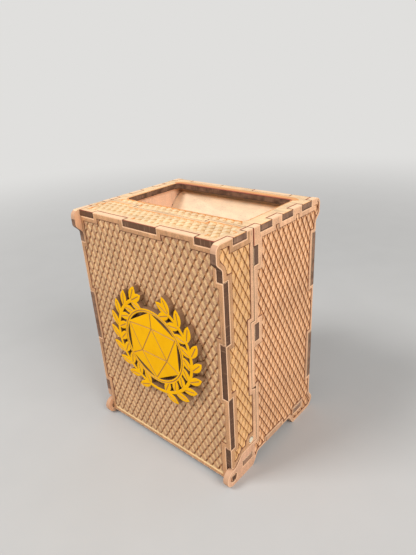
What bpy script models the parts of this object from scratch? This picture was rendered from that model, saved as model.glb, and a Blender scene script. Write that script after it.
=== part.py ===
"""A folding dice tower, cut from wooden sheet and joined with fingers.

The rear part is the tower: a box on two feet, with a hopper in its top and three ramps inside.
The front part is the tray: a shallow box that closes the tower's front, and folds down on two
square pegs until its ears rest on the table in front of the exit.
X runs across, -Y is the front and +Z is up. The origin is on the table, under the middle.
"""
import math
from collections import Counter

import bmesh
import bpy
from mathutils import Vector
from mathutils.geometry import delaunay_2d_cdt

# Overall sizes
WIDTH = 0.096
DEPTH = 0.0755
HEIGHT = 0.130
SHEET = 0.003

# Clearances, and how near two points of the emblem lie before they are one
FIT_GAP = 0.0003
SWING_GAP = 0.0004
UNION_GRAIN = 0.00003

# The tray's depth and its hinge
TRAY_DEPTH = 0.0215
HINGE_HEIGHT = 0.005
PEG_PLAY = 0.0004
FLOOR_LIP = 0.0007

# Fingers up the corners, and the tabs along the side panels' top edges
CAP_FINGER = 0.0175
TOE_HEIGHT = 0.024
TOWER_TAB_SHARE = 0.161
TRAY_TAB_SHARE = 0.405
TRAY_TAB_PLACE_SHARE = 0.563

# Feet, and the base panel that stands between them
FOOT_HEIGHT = 0.0065
FOOT_END_SHARE = 0.272
ARCH_START_SHARE = 0.192
HEEL_EASE = 0.007
BASE_MIDDLE_TAB_SHARE = 0.2
BASE_END_TAB_SHARE = 0.102
BASE_END_PLACE_SHARE = 0.325

# Ears at the top corners
EAR_ROUND = 0.0035
EAR_DROP = 0.0075
EAR_EASE = 0.005

# The lower end of the tray's sides, over the tower's arms
LOBE_GAP = 0.001
LOBE_WIDTH = 0.0036
LOBE_LENGTH = 0.0045
LOBE_RUN = 0.006
ARM_START = 0.0012
ARM_RUN = 0.007

# The tongues in the tower's front edges, and the partition's tabs
TONGUE_REACH = 0.003
TONGUE_WALL = 0.0025
TONGUE_LENGTH = 0.0364
TOP_TONGUE_LENGTH = 0.0465
TOP_TONGUE_PLAY = 0.001
PARTITION_TAB = 0.0083
LOWER_TAB_SHARE = 0.608
UPPER_TAB_SHARE = 0.902
EXIT_HEIGHT = 0.0365

# The hopper
HOPPER_SIDE_RIM = 0.0085
HOPPER_FRONT_RIM = 0.0053
HOPPER_BACK_RIM = 0.0093
HOPPER_ROUND = 0.003

# The ramps
RAMP_ANGLE = math.radians(45)
EXIT_ANGLE = math.radians(40)
THROAT_SHARE = 0.506
UPPER_DROP = 0.0056
MIDDLE_RAMP_SHARE = 0.677
EXIT_SETBACK = 0.0083
RAMP_TAB_LENGTH_SHARE = 0.22
RAMP_TAB_PLACE_SHARES = (0.22, 0.78)
RAMP_ROUND = 0.004

# The magnets
MAGNET_DIAMETER = 0.003
MAGNET_INSET = 0.0046
MAGNET_RISE = 0.0028
NOSE_WALL = 0.0045

# The emblem: a many-sided die in a ring, inside a laurel wreath
EMBLEM_SHEET = 0.003
EMBLEM_RIGHT = 0.004
EMBLEM_UP = 0.068
BRANCH_RADIUS = 0.0255
BRANCH_WIDTH = 0.0018
LEAF_LENGTH = 0.0098
LEAF_WIDTH = 0.0044
INNER_LEAF_SHARE = 0.86
RING_RADIUS = 0.0196
RING_WIDTH = 0.002
DIE_RADIUS = 0.0192
LEAF_PAIRS = 9
BRANCH_START = math.radians(12)
BRANCH_END = math.radians(148)
BRANCH_TIP = math.radians(4)
LEAF_LEAN = math.radians(34)
INNER_LEAN = math.radians(-52)
LEAF_SWELL = 0.8

# How finely curves are cut, and the sharpest bend that is shaded as a curve
EASE_STEPS = 8
ROUND_STEPS = 6
HOLE_STEPS = 24
LEAF_STEPS = 6
SHARP_ANGLE = math.radians(32)

# Places that follow from the sizes
HALF_WIDTH = WIDTH / 2
INNER_HALF = HALF_WIDTH - SHEET
SEAT_HALF = INNER_HALF - FIT_GAP
FRONT = -DEPTH / 2
BACK = DEPTH / 2
SEAM = FRONT + TRAY_DEPTH
TRAY_REAR = SEAM - SWING_GAP
TOWER_DEPTH = BACK - SEAM
HINGE_Y = FRONT + SHEET / 2
EAR_REACH = HINGE_HEIGHT - SHEET / 2
PEG_CORNER = SHEET / math.sqrt(2)
LIP_CORNER = math.hypot(SHEET / 2, SHEET / 2 + FLOOR_LIP)
TOP_FINGER = INNER_HALF / 2
SIDE_FINGER = (HEIGHT - CAP_FINGER - TOE_HEIGHT) / 3
PANEL_FINGERS = [(TOE_HEIGHT, TOE_HEIGHT + SIDE_FINGER),
                 (TOE_HEIGHT + 2 * SIDE_FINGER, TOE_HEIGHT + 3 * SIDE_FINGER)]
UNDER_TOP = HEIGHT - SHEET - FIT_GAP
BASE_TOP = FOOT_HEIGHT + SHEET
BASE_FRONT = HINGE_Y + LIP_CORNER + SWING_GAP
EXIT_TOP = BASE_TOP + EXIT_HEIGHT
LOBE_LOW = 2 * HINGE_HEIGHT + LOBE_GAP
STRIP_LOW = LOBE_LOW + LOBE_LENGTH
LINER_OUTER = SEAT_HALF
LINER_INNER = LINER_OUTER - SHEET
LINER_FRONT = SEAM + SHEET + FIT_GAP
LINER_BACK = BACK - SHEET - FIT_GAP
THROAT = (LINER_BACK - LINER_FRONT) * THROAT_SHARE
MAGNET_Y = TRAY_REAR - MAGNET_INSET
MAGNET_Z = STRIP_LOW + MAGNET_RISE
MAGNET_HOLE = MAGNET_DIAMETER / 2 + FIT_GAP


def spread(centre, length):
    """The two ends of a span about its centre."""
    return centre - length / 2, centre + length / 2


def widened(span):
    """A span with the fit gap added at both of its ends."""
    return span[0] - FIT_GAP, span[1] + FIT_GAP


TOWER_TAB = TOWER_DEPTH * TOWER_TAB_SHARE
TOWER_TABS = [spread(SEAM + TOWER_DEPTH / 2 + 2 * step * TOWER_TAB, TOWER_TAB) for step in (-1, 0, 1)]
TRAY_TAB = spread(FRONT + TRAY_DEPTH * TRAY_TAB_PLACE_SHARE, TRAY_DEPTH * TRAY_TAB_SHARE)
BASE_TABS = [spread(-DEPTH * BASE_END_PLACE_SHARE, DEPTH * BASE_END_TAB_SHARE),
             spread(0, DEPTH * BASE_MIDDLE_TAB_SHARE),
             spread(DEPTH * BASE_END_PLACE_SHARE, DEPTH * BASE_END_TAB_SHARE)]
LOWER_TAB = spread(HEIGHT * LOWER_TAB_SHARE, PARTITION_TAB)
UPPER_TAB = spread(HEIGHT * UPPER_TAB_SHARE, PARTITION_TAB)
TONGUE_FRONT = SEAM - TONGUE_REACH
TONGUE_TOP = LOWER_TAB[1] + TONGUE_WALL
TONGUE_BOTTOM = TONGUE_TOP - TONGUE_LENGTH
JOG_RADIUS = math.hypot(TONGUE_FRONT - HINGE_Y, TONGUE_BOTTOM - HINGE_HEIGHT) - SWING_GAP

WOOD_COLOUR = (0.44, 0.27, 0.17, 1)
PALE_COLOUR = (0.62, 0.44, 0.33, 1)
YELLOW_COLOUR = (0.86, 0.52, 0.03, 1)
STEEL_COLOUR = (0.75, 0.76, 0.78, 1)


def material(name, colour, roughness, metallic=0):
    """A plain finish in one colour."""
    finish = bpy.data.materials.new(name)
    finish.use_nodes = True
    shader = finish.node_tree.nodes["Principled BSDF"]
    shader.inputs["Base Color"].default_value = colour
    shader.inputs["Roughness"].default_value = roughness
    shader.inputs["Metallic"].default_value = metallic
    finish.diffuse_color = colour
    return finish


def crenels(spans, level, tip, upright=False):
    """The corners that tabs or notches make in an edge: it runs at a level, and at a tip over each span."""
    points = []
    for low, high in spans:
        points += [(low, level), (low, tip), (high, tip), (high, level)]
    return [(v, u) for u, v in points] if upright else points


def mirrored(half):
    """A closed outline from its right half, which runs from the bottom to the top."""
    return half + [(-u, v) for u, v in reversed(half)]


def arc(centre, radius, start, stop, steps=ROUND_STEPS):
    """Points on a round corner, from one angle to another, in degrees."""
    points = []
    for step in range(steps + 1):
        angle = math.radians(start + (stop - start) * step / steps)
        points.append((centre[0] + radius * math.cos(angle), centre[1] + radius * math.sin(angle)))
    return points


def ease(start, end, upright=False, steps=EASE_STEPS):
    """Points on a soft S-bend, which leaves and arrives level, or upright."""
    points = []
    for step in range(steps + 1):
        share = step / steps
        eased = (1 - math.cos(math.pi * share)) / 2
        along, across = (eased, share) if upright else (share, eased)
        points.append((start[0] + (end[0] - start[0]) * along, start[1] + (end[1] - start[1]) * across))
    return points


def circle(centre, radius):
    """A round hole's outline."""
    return arc(centre, radius, 0, 360, HOLE_STEPS)[:-1]


def box_hole(u_span, v_span):
    """A square-cornered hole's outline."""
    return [(u_span[0], v_span[0]), (u_span[1], v_span[0]), (u_span[1], v_span[1]), (u_span[0], v_span[1])]


def cut_sheet(name, points, pairs, thickness, finish):
    """A sheet cut along the given edges in its own XY plane, from z = 0 up, as a new object."""
    build = bmesh.new()
    corners = [build.verts.new((u, v, 0)) for u, v in points]
    edges = [build.edges.new((corners[first], corners[last])) for first, last in pairs]
    filled = bmesh.ops.triangle_fill(build, use_beauty=True, edges=edges)
    faces = [part for part in filled["geom"] if isinstance(part, bmesh.types.BMFace)]
    grown = bmesh.ops.extrude_face_region(build, geom=faces)
    lifted = [part for part in grown["geom"] if isinstance(part, bmesh.types.BMVert)]
    bmesh.ops.translate(build, vec=(0, 0, thickness), verts=lifted)
    bmesh.ops.recalc_face_normals(build, faces=build.faces)
    mesh = bpy.data.meshes.new(name)
    build.to_mesh(mesh)
    build.free()
    mesh.shade_smooth()
    mesh.set_sharp_from_angle(angle=SHARP_ANGLE)
    mesh.materials.append(finish)
    piece = bpy.data.objects.new(name, mesh)
    bpy.context.scene.collection.objects.link(piece)
    return piece


def joined_loops(loops):
    """The points of closed outlines in one list, and the pairs of points that their edges join."""
    points = []
    pairs = []
    for loop in loops:
        own = list(range(len(points), len(points) + len(loop)))
        pairs += zip(own, own[1:] + own[:1])
        points += loop
    return points, pairs


def plate(name, outline, holes, thickness, finish):
    """A sheet cut to an outline, with its holes."""
    points, pairs = joined_loops([outline] + holes)
    return cut_sheet(name, points, pairs, thickness, finish)


UPRIGHT_SIDE = (math.pi / 2, 0, math.pi / 2)
UPRIGHT_FRONT = (math.pi / 2, 0, 0)


def place(piece, location, turn=(0, 0, 0), parent=None):
    """Stand a piece at its place, and hang it on the hinge if it folds."""
    piece.rotation_euler = turn
    piece.location = location
    if parent:
        piece.parent = parent
        piece.location = Vector(location) - parent.location
    return piece


def heel_and_ear():
    """A side panel's rear edge: the heel, the fingers, and the ear at the top."""
    points = arc((-HINGE_Y, HINGE_HEIGHT), HINGE_HEIGHT, -90, 0)
    points += ease((BACK + EAR_REACH, HINGE_HEIGHT), (BACK, HINGE_HEIGHT + HEEL_EASE), upright=True)[1:]
    notches = [widened(span) for span in PANEL_FINGERS]
    points += crenels(notches, BACK, BACK - SHEET - FIT_GAP, upright=True)
    return points + ear(BACK, 1)


def ear(plane, side):
    """The ear that stands out past a panel's plane, from its lower end to the top edge."""
    tip = plane + side * EAR_REACH
    low = HEIGHT - EAR_DROP
    points = ease((plane, low - EAR_EASE), (tip, low), upright=True)
    if side > 0:
        return points + arc((tip - EAR_ROUND, HEIGHT - EAR_ROUND), EAR_ROUND, 0, 90)
    return points + arc((tip + EAR_ROUND, HEIGHT - EAR_ROUND), EAR_ROUND, 180, 90)


def side_panel_outline():
    """The tower's side: the arm and front foot, the arch, the rear foot, the ear and the front edge."""
    foot_end = DEPTH * FOOT_END_SHARE
    arch = DEPTH * ARCH_START_SHARE
    points = ease((-foot_end, 0), (-arch, FOOT_HEIGHT))
    points += crenels([widened(BASE_TABS[1])], FOOT_HEIGHT, BASE_TOP + FIT_GAP)
    points += ease((arch, FOOT_HEIGHT), (foot_end, 0))
    points += heel_and_ear()
    points += reversed(crenels([widened(tab) for tab in TOWER_TABS], HEIGHT, UNDER_TOP))
    points += [(SEAM, HEIGHT)]
    points += reversed(crenels([widened(UPPER_TAB)], SEAM, LINER_FRONT, upright=True))
    points += reversed(crenels([(TONGUE_BOTTOM, TONGUE_TOP)], SEAM, TONGUE_FRONT, upright=True))
    arm_top = STRIP_LOW - SWING_GAP
    arm_bend = HINGE_Y + ARM_START
    points += [(SEAM, arm_top)]
    points += ease((arm_bend + ARM_RUN, arm_top), (arm_bend, 2 * HINGE_HEIGHT))
    points += arc((HINGE_Y, HINGE_HEIGHT), HINGE_HEIGHT, 90, 270, 2 * ROUND_STEPS)
    return points


def make_side_panel(name, side, finish):
    """A side of the tower, with its base and partition slots and the hinge hole."""
    base_span = widened((FOOT_HEIGHT, BASE_TOP))
    holes = [box_hole(widened(tab), base_span) for tab in (BASE_TABS[0], BASE_TABS[2])]
    holes += [box_hole((SEAM - FIT_GAP, LINER_FRONT), widened(LOWER_TAB))]
    holes += [circle((HINGE_Y, HINGE_HEIGHT), PEG_CORNER + PEG_PLAY)]
    panel = plate(name, side_panel_outline(), holes, SHEET, finish)
    return place(panel, (INNER_HALF if side > 0 else -HALF_WIDTH, 0, 0), UPRIGHT_SIDE)


def rear_tabs():
    """The tabs in a level panel's rear edge, from the right corner to the middle."""
    seat = BACK - SHEET - FIT_GAP
    outer = 3 * TOP_FINGER / 2 + FIT_GAP
    middle = TOP_FINGER / 2 - FIT_GAP
    return [(SEAT_HALF, BACK), (outer, BACK), (outer, seat), (middle, seat), (middle, BACK)]


def top_fingers():
    """The fingers in an upright panel's top edge, from the right corner to the middle."""
    edge = crenels([(TOP_FINGER / 2, 3 * TOP_FINGER / 2)], UNDER_TOP, HEIGHT)
    return [(SEAT_HALF, UNDER_TOP)] + list(reversed(edge))


def make_back_panel(finish):
    """The tower's rear wall, fingered into the sides, the top and the base."""
    half = crenels([(TOP_FINGER / 2, 3 * TOP_FINGER / 2)], BASE_TOP + FIT_GAP, FOOT_HEIGHT)
    half += [(SEAT_HALF, BASE_TOP + FIT_GAP)]
    half += crenels(PANEL_FINGERS, SEAT_HALF, HALF_WIDTH, upright=True)
    half += top_fingers()
    panel = plate("back_panel", mirrored(half), [], SHEET, finish)
    return place(panel, (0, BACK, 0), UPRIGHT_FRONT)


def make_top_frame(finish):
    """The tower's top, with the hopper's round-cornered opening and a tongue in its front edge."""
    tongue = TOP_TONGUE_LENGTH / 2
    half = [(tongue, TONGUE_FRONT), (tongue, SEAM), (SEAT_HALF, SEAM)]
    half += crenels(TOWER_TABS, SEAT_HALF, HALF_WIDTH, upright=True) + rear_tabs()
    right = HALF_WIDTH - HOPPER_SIDE_RIM - HOPPER_ROUND
    low = SEAM + HOPPER_FRONT_RIM + HOPPER_ROUND
    high = BACK - HOPPER_BACK_RIM - HOPPER_ROUND
    hopper_half = arc((right, low), HOPPER_ROUND, -90, 0) + arc((right, high), HOPPER_ROUND, 0, 90)
    frame = plate("top_frame", mirrored(half), [mirrored(hopper_half)], SHEET, finish)
    return place(frame, (0, 0, HEIGHT - SHEET))


def make_base_panel(finish):
    """The floor of the tower, which reaches forward between the arms to the tray's hinge."""
    half = [(SEAT_HALF, BASE_FRONT)] + crenels(BASE_TABS, SEAT_HALF, HALF_WIDTH, upright=True) + rear_tabs()
    return place(plate("base_panel", mirrored(half), [], SHEET, finish), (0, 0, FOOT_HEIGHT))


def make_partition(finish):
    """The tower's front wall, above the exit."""
    half = [(SEAT_HALF, EXIT_TOP)]
    half += crenels([LOWER_TAB, UPPER_TAB], SEAT_HALF, HALF_WIDTH, upright=True)
    half += [(SEAT_HALF, UNDER_TOP)]
    return place(plate("partition", mirrored(half), [], SHEET, finish), (0, SEAM + SHEET, 0), UPRIGHT_FRONT)


def ramp_layout():
    """Each ramp's upper end on its top face, its length, its slope, and the way it falls along Y."""
    back_start = LINER_BACK - SHEET * math.sin(RAMP_ANGLE)
    front_start = LINER_FRONT + SHEET * math.sin(RAMP_ANGLE)
    slope = 1 / math.cos(RAMP_ANGLE)
    upper_length = (back_start - LINER_FRONT - THROAT) * slope
    middle_length = (LINER_BACK - THROAT - front_start) * slope
    exit_start = LINER_BACK - SHEET * math.sin(EXIT_ANGLE)
    exit_length = (exit_start - SEAM - EXIT_SETBACK) / math.cos(EXIT_ANGLE)
    exit_low = BASE_TOP + FIT_GAP + SHEET * math.cos(EXIT_ANGLE)
    exit_height = exit_low + exit_length * math.sin(EXIT_ANGLE)
    return {
        "upper_ramp": (back_start, HEIGHT - UPPER_DROP, upper_length, RAMP_ANGLE, -1),
        "middle_ramp": (front_start, HEIGHT * MIDDLE_RAMP_SHARE, middle_length, RAMP_ANGLE, 1),
        "exit_ramp": (exit_start, exit_height, exit_length, EXIT_ANGLE, -1),
    }


def ramp_point(layout, along, deep):
    """A point of a ramp's side view, so far down its slope and so deep under its top face."""
    start, height, _, angle, way = layout
    y = start + way * along * math.cos(angle) - way * deep * math.sin(angle)
    z = height - along * math.sin(angle) - deep * math.cos(angle)
    return y, z


def ramp_slots(layout):
    """The slots in a liner that a ramp's tabs seat in."""
    slots = []
    length = layout[2]
    for share in RAMP_TAB_PLACE_SHARES:
        low, high = widened(spread(length * share, length * RAMP_TAB_LENGTH_SHARE))
        shallow, deep = widened((0, SHEET))
        slots.append([ramp_point(layout, along, depth)
                      for along, depth in ((low, shallow), (high, shallow), (high, deep), (low, deep))])
    return slots


def make_ramp(name, layout, finish):
    """A ramp from liner to liner, rounded at its upper corners, with two tabs at each side."""
    _, _, length, angle, way = layout
    half_span = LINER_INNER - FIT_GAP
    tab = length * RAMP_TAB_LENGTH_SHARE
    spans = [spread(length * (1 - share), tab) for share in reversed(RAMP_TAB_PLACE_SHARES)]
    half = [(half_span, 0)] + crenels(spans, half_span, LINER_OUTER, upright=True)
    half += arc((half_span - RAMP_ROUND, length - RAMP_ROUND), RAMP_ROUND, 0, 90)
    ramp = plate(name, mirrored(half), [], SHEET, finish)
    foot_y, foot_z = ramp_point(layout, length, SHEET)
    turn = (angle, 0, 0) if way < 0 else (angle, 0, math.pi)
    return place(ramp, (0, foot_y, foot_z), turn)


def liner_outline():
    """A liner's outline: the nose that holds the magnet, and the wall behind the partition."""
    low = BASE_TOP + FIT_GAP
    nose = MAGNET_Y - NOSE_WALL
    nose_top = MAGNET_Z + NOSE_WALL
    points = [(nose, low), (LINER_BACK, low), (LINER_BACK, UNDER_TOP), (LINER_FRONT, UNDER_TOP)]
    points += [(LINER_FRONT, EXIT_TOP - FIT_GAP)]
    points += ease((SEAM, EXIT_TOP - FIT_GAP), (MAGNET_Y, nose_top), upright=True)
    points += arc((nose + NOSE_WALL, nose_top - NOSE_WALL), NOSE_WALL, 90, 180)[1:]
    return points


def make_liner(name, side, finish):
    """An inner side wall, which carries the ramps and hides their slots from outside."""
    holes = [slot for layout in ramp_layout().values() for slot in ramp_slots(layout)]
    holes += [circle((MAGNET_Y, MAGNET_Z), MAGNET_HOLE)]
    liner = plate(name, liner_outline(), holes, SHEET, finish)
    return place(liner, (LINER_INNER if side > 0 else -LINER_OUTER, 0, 0), UPRIGHT_SIDE)


def make_magnet(name, low_x, finish, parent=None):
    """A disc magnet, pressed into a hole through the sheet."""
    disc = plate(name, circle((0, 0), MAGNET_DIAMETER / 2), [], SHEET, finish)
    return place(disc, (low_x, MAGNET_Y, MAGNET_Z), UPRIGHT_SIDE, parent)


def make_tray_floor(finish, hinge):
    """The front panel, which is the tray's floor when it is down, with the hinge's square pegs."""
    pegs = spread(HINGE_HEIGHT, SHEET)
    half = [(SEAT_HALF, pegs[0] - FLOOR_LIP)]
    half += crenels([pegs] + PANEL_FINGERS, SEAT_HALF, HALF_WIDTH, upright=True) + top_fingers()
    panel = plate("tray_floor", mirrored(half), [], SHEET, finish)
    return place(panel, (0, FRONT + SHEET, 0), UPRIGHT_FRONT, hinge)


def jog_point(y):
    """A point of the tray's edge below the tongue, on the arc that just passes the tongue's lower corner."""
    return y, HINGE_HEIGHT + math.sqrt(JOG_RADIUS ** 2 - (y - HINGE_Y) ** 2)


def tray_side_outline():
    """A tray side: its lobe, its lower edge, the recess for the tongue, the ear and the fingers."""
    lobe = LOBE_WIDTH / 2
    points = arc((FRONT + lobe, LOBE_LOW + lobe), lobe, 180, 360, 2 * ROUND_STEPS)
    points += ease((FRONT + LOBE_WIDTH, LOBE_LOW + lobe), (FRONT + LOBE_WIDTH + LOBE_RUN, STRIP_LOW))[1:]
    recess = TONGUE_FRONT - SWING_GAP
    points += [(TRAY_REAR, STRIP_LOW), jog_point(TRAY_REAR), jog_point(recess)]
    points += [(recess, TONGUE_TOP + SWING_GAP), (TRAY_REAR, TONGUE_TOP + SWING_GAP), (TRAY_REAR, HEIGHT)]
    points += reversed(crenels([widened(TRAY_TAB)], HEIGHT, UNDER_TOP))
    points += reversed(ear(FRONT, -1))
    notches = [widened(span) for span in PANEL_FINGERS]
    points += reversed(crenels(notches, FRONT, FRONT + SHEET + FIT_GAP, upright=True))
    return points


def make_tray_side(name, side, finish, hinge):
    """A side of the tray, with the hole for its magnet."""
    hole = circle((MAGNET_Y, MAGNET_Z), MAGNET_HOLE)
    strip = plate(name, tray_side_outline(), [hole], SHEET, finish)
    return place(strip, (INNER_HALF if side > 0 else -HALF_WIDTH, 0, 0), UPRIGHT_SIDE, hinge)


def make_tray_end(finish, hinge):
    """The strip across the top, which is the tray's far wall when it is down."""
    seat = FRONT + SHEET + FIT_GAP
    outer = 3 * TOP_FINGER / 2 + FIT_GAP
    middle = TOP_FINGER / 2 - FIT_GAP
    half = [(middle, FRONT), (middle, seat), (outer, seat), (outer, FRONT), (SEAT_HALF, FRONT)]
    half += crenels([TRAY_TAB], SEAT_HALF, HALF_WIDTH, upright=True) + [(SEAT_HALF, TRAY_REAR)]
    recess = TOP_TONGUE_LENGTH / 2 + TOP_TONGUE_PLAY
    half += [(recess, TRAY_REAR), (recess, TONGUE_FRONT - SWING_GAP)]
    strip = plate("tray_end", mirrored(half), [], SHEET, finish)
    return place(strip, (0, 0, HEIGHT - SHEET), (0, 0, 0), hinge)


def ring_shapes(radius, width, start, stop, steps):
    """The pieces of a round band, each a short four-cornered block."""
    shapes = []
    inner, outer = spread(radius, width)
    for step in range(steps):
        first = start + (stop - start) * step / steps
        last = start + (stop - start) * (step + 1) / steps
        shapes.append([(inner * math.sin(first), -inner * math.cos(first)),
                       (outer * math.sin(first), -outer * math.cos(first)),
                       (outer * math.sin(last), -outer * math.cos(last)),
                       (inner * math.sin(last), -inner * math.cos(last))])
    return shapes


def leaf_shape(angle, lean, length, width):
    """A pointed leaf on the branch: it grows up along the branch and leans out or in."""
    base = Vector((BRANCH_RADIUS * math.sin(angle), -BRANCH_RADIUS * math.cos(angle)))
    way = Vector((math.cos(angle - lean), math.sin(angle - lean)))
    across = Vector((-way.y, way.x))
    shares = [step / LEAF_STEPS for step in range(1, LEAF_STEPS)]
    edge = [math.sin(math.pi * share) ** LEAF_SWELL * width / 2 for share in shares]
    run = [length * share for share in shares]
    right = [base + way * far - across * wide for far, wide in zip(run, edge)]
    left = [base + way * far + across * wide for far, wide in zip(run, edge)]
    return [tuple(point) for point in [base] + right + [base + way * length] + left[::-1]]


def emblem_shapes():
    """Every overlapping flat shape that the emblem is cut from, about its own middle."""
    shapes = ring_shapes(RING_RADIUS, RING_WIDTH, 0, 2 * math.pi, 2 * HOLE_STEPS)
    shapes.append(arc((0, 0), DIE_RADIUS, 30, 390, 6)[:-1])
    tip = BRANCH_END + BRANCH_TIP
    right = ring_shapes(BRANCH_RADIUS, BRANCH_WIDTH, -BRANCH_START, tip, HOLE_STEPS)
    right.append(leaf_shape(BRANCH_END, 0, LEAF_LENGTH, LEAF_WIDTH))
    for pair in range(LEAF_PAIRS):
        angle = BRANCH_START + (BRANCH_END - BRANCH_START) * pair / (LEAF_PAIRS - 1)
        right.append(leaf_shape(angle, LEAF_LEAN, LEAF_LENGTH, LEAF_WIDTH))
        right.append(leaf_shape(angle, INNER_LEAN, LEAF_LENGTH * INNER_LEAF_SHARE, LEAF_WIDTH))
    return shapes + right + [[(-u, v) for u, v in reversed(shape)] for shape in right]


def united(shapes):
    """Overlapping flat shapes as one: the points and the edges of its outline and its cut-outs."""
    points = []
    loops = []
    for shape in shapes:
        loops.append(list(range(len(points), len(points) + len(shape))))
        points += [Vector(point) for point in shape]
    corners, _, faces, _, _, sources = delaunay_2d_cdt(points, [], loops, 1, UNION_GRAIN)
    uses = Counter()
    for face, source in zip(faces, sources):
        if source:
            uses.update(frozenset(pair) for pair in zip(face, face[1:] + face[:1]))
    outline = [tuple(pair) for pair, count in uses.items() if count == 1]
    used = sorted({index for pair in outline for index in pair})
    new_index = {index: place_in_list for place_in_list, index in enumerate(used)}
    return [tuple(corners[index]) for index in used], [(new_index[a], new_index[b]) for a, b in outline]


def make_emblem(finish, hinge):
    """The emblem on the tray's outer face: all its shapes united in one flat cut."""
    points, pairs = united(emblem_shapes())
    emblem = cut_sheet("emblem", points, pairs, EMBLEM_SHEET, finish)
    return place(emblem, (EMBLEM_RIGHT, FRONT - FIT_GAP, EMBLEM_UP), UPRIGHT_FRONT, hinge)


def main():
    """Clear the scene and make every piece."""
    for old in list(bpy.data.objects):
        bpy.data.objects.remove(old)
    wood = material("engraved_wood", WOOD_COLOUR, 0.6)
    pale = material("plain_wood", PALE_COLOUR, 0.5)
    yellow = material("yellow_wood", YELLOW_COLOUR, 0.45)
    steel = material("bright_steel", STEEL_COLOUR, 0.25, 1)

    hinge = bpy.data.objects.new("tray_hinge", None)
    hinge.location = (0, HINGE_Y, HINGE_HEIGHT)
    bpy.context.scene.collection.objects.link(hinge)

    make_back_panel(wood)
    make_top_frame(wood)
    make_base_panel(pale)
    make_partition(pale)
    for name, layout in ramp_layout().items():
        make_ramp(name, layout, pale)
    for side, word in ((1, "right"), (-1, "left")):
        make_side_panel(f"side_panel_{word}", side, wood)
        make_liner(f"liner_{word}", side, pale)
        make_magnet(f"tower_magnet_{word}", LINER_INNER if side > 0 else -LINER_OUTER, steel)
        make_tray_side(f"tray_side_{word}", side, wood, hinge)
        make_magnet(f"tray_magnet_{word}", INNER_HALF if side > 0 else -HALF_WIDTH, steel, hinge)
    make_tray_floor(wood, hinge)
    make_tray_end(wood, hinge)
    make_emblem(yellow, hinge)


main()
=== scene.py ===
"""The looks of a folding dice tower: engraved wooden panels with burnt edges, smooth inner boards,
a yellow emblem and small steel magnets, on a pale studio floor.

Each engraved panel is cut anew from the outline of its solid, with its scale pattern as real relief.
"""
import math
from collections import namedtuple

import bmesh
import bpy
import numpy as np
from bpy.props import FloatProperty, FloatVectorProperty, PointerProperty
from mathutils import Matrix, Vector
from mathutils.geometry import delaunay_2d_cdt


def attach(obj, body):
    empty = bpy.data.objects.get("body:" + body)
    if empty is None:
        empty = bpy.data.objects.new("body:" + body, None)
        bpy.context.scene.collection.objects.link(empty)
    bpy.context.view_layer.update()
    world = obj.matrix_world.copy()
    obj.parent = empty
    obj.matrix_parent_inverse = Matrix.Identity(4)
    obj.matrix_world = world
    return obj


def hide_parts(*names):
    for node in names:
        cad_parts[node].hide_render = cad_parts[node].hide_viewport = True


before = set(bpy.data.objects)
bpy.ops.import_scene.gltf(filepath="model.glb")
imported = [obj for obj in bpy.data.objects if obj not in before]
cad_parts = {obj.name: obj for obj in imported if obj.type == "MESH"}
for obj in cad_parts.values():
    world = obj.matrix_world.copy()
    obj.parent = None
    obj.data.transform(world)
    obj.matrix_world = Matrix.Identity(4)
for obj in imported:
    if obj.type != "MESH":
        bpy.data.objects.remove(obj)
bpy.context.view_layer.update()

bl_info = {
    "name": "Folding dice tower",
    "version": (1, 0, 0),
    "blender": (4, 5, 0),
    "location": "3D View > Sidebar > Dice tower",
    "description": "Dresses the dice tower's solids in engraved wood, paint and steel",
    "category": "Object",
}

MILLIMETRE = 0.001

# The thickness of every panel
SHEET = 0.003

# How finely outlines are read and cut, in millimetres
TOUCH = 0.02
CUT_GRAIN = 0.0005

# The shortest line of the lattice, counted in scales
LEAST_LINE = 0.002

# The least turn of an outline and the least sharp one, as sines
LEAST_TURN = 0.002
SHARP_TURN = 0.5

# The angle above which an edge is shaded as sharp
SHARP_EDGE = math.radians(30)

# How much of a way points up where an edge faces up, and along an axis where it is straight
FACING_UP = 0.5
STRAIGHT = 0.9


def seen(red, green, blue):
    """A colour given as it is seen, from 0 to 255, as linear values."""
    shares = (red / 255, green / 255, blue / 255)
    return tuple(s / 12.92 if s <= 0.04045 else ((s + 0.055) / 1.055) ** 2.4 for s in shares)


# Settings


def length_setting(name, description, default):
    """A length that a user can change."""
    return FloatProperty(name=name, description=description, default=default, unit="LENGTH", precision=5)


def colour_setting(name, description, *tone):
    """A colour that a user can change. Its tone is given as it is seen, from 0 to 255."""
    return FloatVectorProperty(
        name=name, description=description, subtype="COLOR", default=seen(*tone), min=0, max=1)


class EngravingSizes(bpy.types.PropertyGroup):
    """The sizes of the engraved scales and of the plain border round them."""

    scale_width: length_setting("Scale width", "How far apart two scales of one row lie", 0.00417)
    scale_length: length_setting("Scale length", "The long diagonal of one scale", 0.00725)
    plate_share: FloatProperty(
        name="Plate share", description="The share of a scale that is left flat",
        default=0.58, subtype="FACTOR", min=0.2, max=0.8)
    lip_share: FloatProperty(
        name="Lip share", description="The share of a scale in which the next plate rises",
        default=0.08, subtype="FACTOR", min=0.02, max=0.2)
    slope_depth: length_setting("Slope depth", "How deep the slope of a scale runs", 0.00045)
    slit_depth: length_setting("Slit depth", "How much deeper the slit between two scales is", 0.0003)
    field_depth: length_setting(
        "Field depth", "How deep the scales' plates lie under the plain border", 0.00022)
    step: length_setting("Step", "The width of the step from the border down to the scales", 0.00045)
    rim: length_setting("Rim", "The width of the worn rim along every edge", 0.00045)
    hopper_rim: length_setting("Hopper rim", "The width of the scorched rim round the hopper", 0.0009)
    # The seam line is partly char and partly painted shade of the panels' gaps
    seam: length_setting("Seam", "The width of the line of char and painted gap shade in the notches on top", 0.0004)
    rim_drop: length_setting("Rim drop", "How far the worn rim falls towards the edge", 0.00015)


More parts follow.
